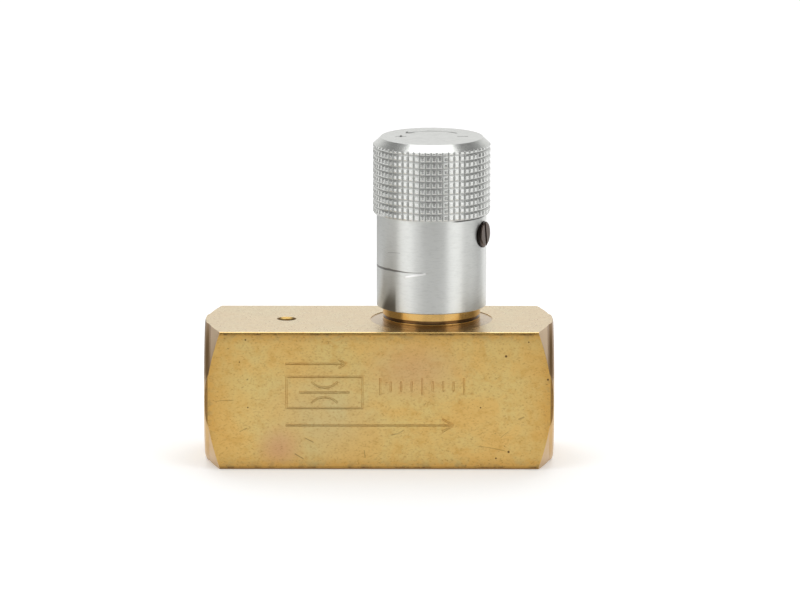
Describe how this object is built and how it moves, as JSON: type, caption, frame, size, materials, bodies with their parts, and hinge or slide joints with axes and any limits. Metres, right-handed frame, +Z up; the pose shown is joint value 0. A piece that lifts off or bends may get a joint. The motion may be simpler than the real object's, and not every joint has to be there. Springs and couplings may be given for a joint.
{
  "type": "needle valve",
  "caption": "Inline needle valve cut from square brass bar, with a threaded port in each end and a tall knurled aluminium adjusting knob locked by a side screw.",
  "frame": {"origin": "centre of the body's bottom face", "axes": "+X runs along the ports' line from the inlet to the outlet, which is the end that the knob stands nearer to; +Z runs up the knob's axis; +Y points away from the face with the stamped marks"},
  "size_m": [0.0636, 0.0254, 0.0592],
  "materials": {
    "bar_brass": "drawn bar, tarnished and lightly worn",
    "turned_brass": "fine turned",
    "nitrile": "matt black",
    "ptfe": "smooth white",
    "stainless_steel": "ground",
    "satin_aluminium": "satin turned, clear anodised",
    "black_oxide_steel": "black oxide, worn brown on the face",
    "nylon": "natural white"
  },
  "bodies": {
    "valve": {"valve_body": "bar_brass", "bonnet": "turned_brass", "bonnet_o_ring": "nitrile", "bonnet_backup_ring": "ptfe"},
    "needle": {"needle": "stainless_steel", "needle_backup_ring_lower": "ptfe", "needle_o_ring": "nitrile", "needle_backup_ring_upper": "ptfe"},
    "knob": {"knob": "satin_aluminium", "stem": "stainless_steel", "thrust_ball": "stainless_steel"},
    "lock_pad": {"lock_pad": "nylon"},
    "lock_screw": {"lock_screw": "black_oxide_steel"}
  },
  "joints": [
    {"name": "needle_rise", "type": "slide", "parent": "valve", "child": "needle", "axis": [0, 0, 1], "range_m": [0, 0.00544]},
    {"name": "knob_turn", "type": "hinge", "parent": "needle", "child": "knob", "pos_m": [0.00953, 0, 0.045], "axis": [0, 0, 1], "range_deg": [0, 2160]},
    {"name": "lock_pad_slide", "type": "slide", "parent": "knob", "child": "lock_pad", "axis": [0.9336, -0.3584, 0], "range_m": [-0.0004, 0.00079]},
    {"name": "lock_screw_turn", "type": "hinge", "parent": "lock_pad", "child": "lock_screw", "pos_m": [0.00953, 0, 0.0418], "axis": [0.9336, -0.3584, 0], "range_deg": [-180, 360]}
  ],
  "couplings": [
    {"joint": "knob_turn", "follows": "needle_rise", "rad_per_m": 6926.3},
    {"joint": "lock_screw_turn", "follows": "lock_pad_slide", "rad_per_m": 7915.8}
  ]
}
